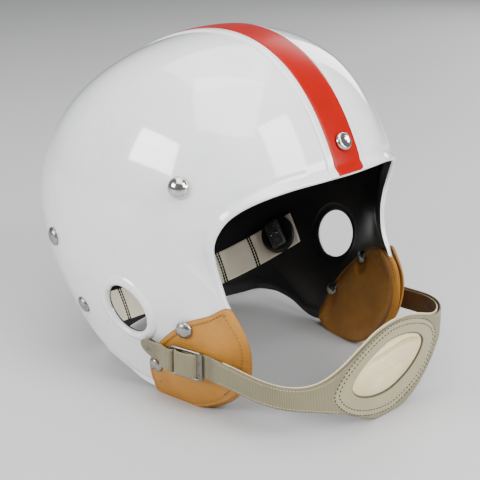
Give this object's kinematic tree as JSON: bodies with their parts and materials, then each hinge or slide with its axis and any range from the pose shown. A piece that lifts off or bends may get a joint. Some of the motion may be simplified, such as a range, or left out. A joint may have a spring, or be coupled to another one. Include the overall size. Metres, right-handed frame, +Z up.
{
  "type": "football helmet",
  "caption": "Hard-shell football helmet with crown stripe, leather jaw pads, inner nape strap and fastened cup chin strap, resting on a surface.",
  "frame": {"origin": "middle of the bounding box's bottom face, on the surface that the helmet rests on", "axes": "+X towards the wearer's left, -Y towards the wearer's front, +Z up; the helmet is symmetric across X but for the tilt of the chin cup"},
  "size_m": [0.2256, 0.2973, 0.2418],
  "materials": {
    "shell_white": "gloss white outside, black inside",
    "stripe_red": "gloss orange-red stripe",
    "pad_leather": "tan top-grain leather, lightly waxed",
    "strap_leather": "brown lining leather",
    "strap_canvas": "beige woven webbing, matte",
    "cup_cream": "cream soft leather",
    "nickel": "nickel plate, lightly worn",
    "black_plastic": "satin black moulded plastic"
  },
  "bodies": {
    "root": {"shell": "shell_white", "crown_stripe": "stripe_red", "chin_strap": "strap_canvas", "chin_lining": "strap_leather", "chin_cup_pad": "cup_cream", "nape_strap": "strap_canvas", "jaw_pad_left": "pad_leather", "jaw_pad_right": "pad_leather", "jaw_flap_left": "pad_leather", "jaw_flap_right": "pad_leather", "nape_disc_left": "black_plastic", "nape_disc_right": "black_plastic", "nape_keeper_left": "black_plastic", "nape_keeper_right": "black_plastic", "chin_buckle_left": "nickel", "chin_buckle_right": "nickel", "chin_tab_left": "strap_canvas", "chin_tab_right": "strap_canvas", "chin_snap_left": "nickel", "chin_snap_right": "nickel", "front_rivet": "nickel", "temple_rivet_left": "nickel", "temple_rivet_right": "nickel", "back_rivet_left": "nickel", "back_rivet_right": "nickel", "nape_rivet_left": "nickel", "nape_rivet_right": "nickel", "jaw_rivet_upper_left": "nickel", "jaw_rivet_upper_right": "nickel", "jaw_rivet_lower_left": "nickel", "jaw_rivet_lower_right": "nickel"}
  },
  "joints": []
}
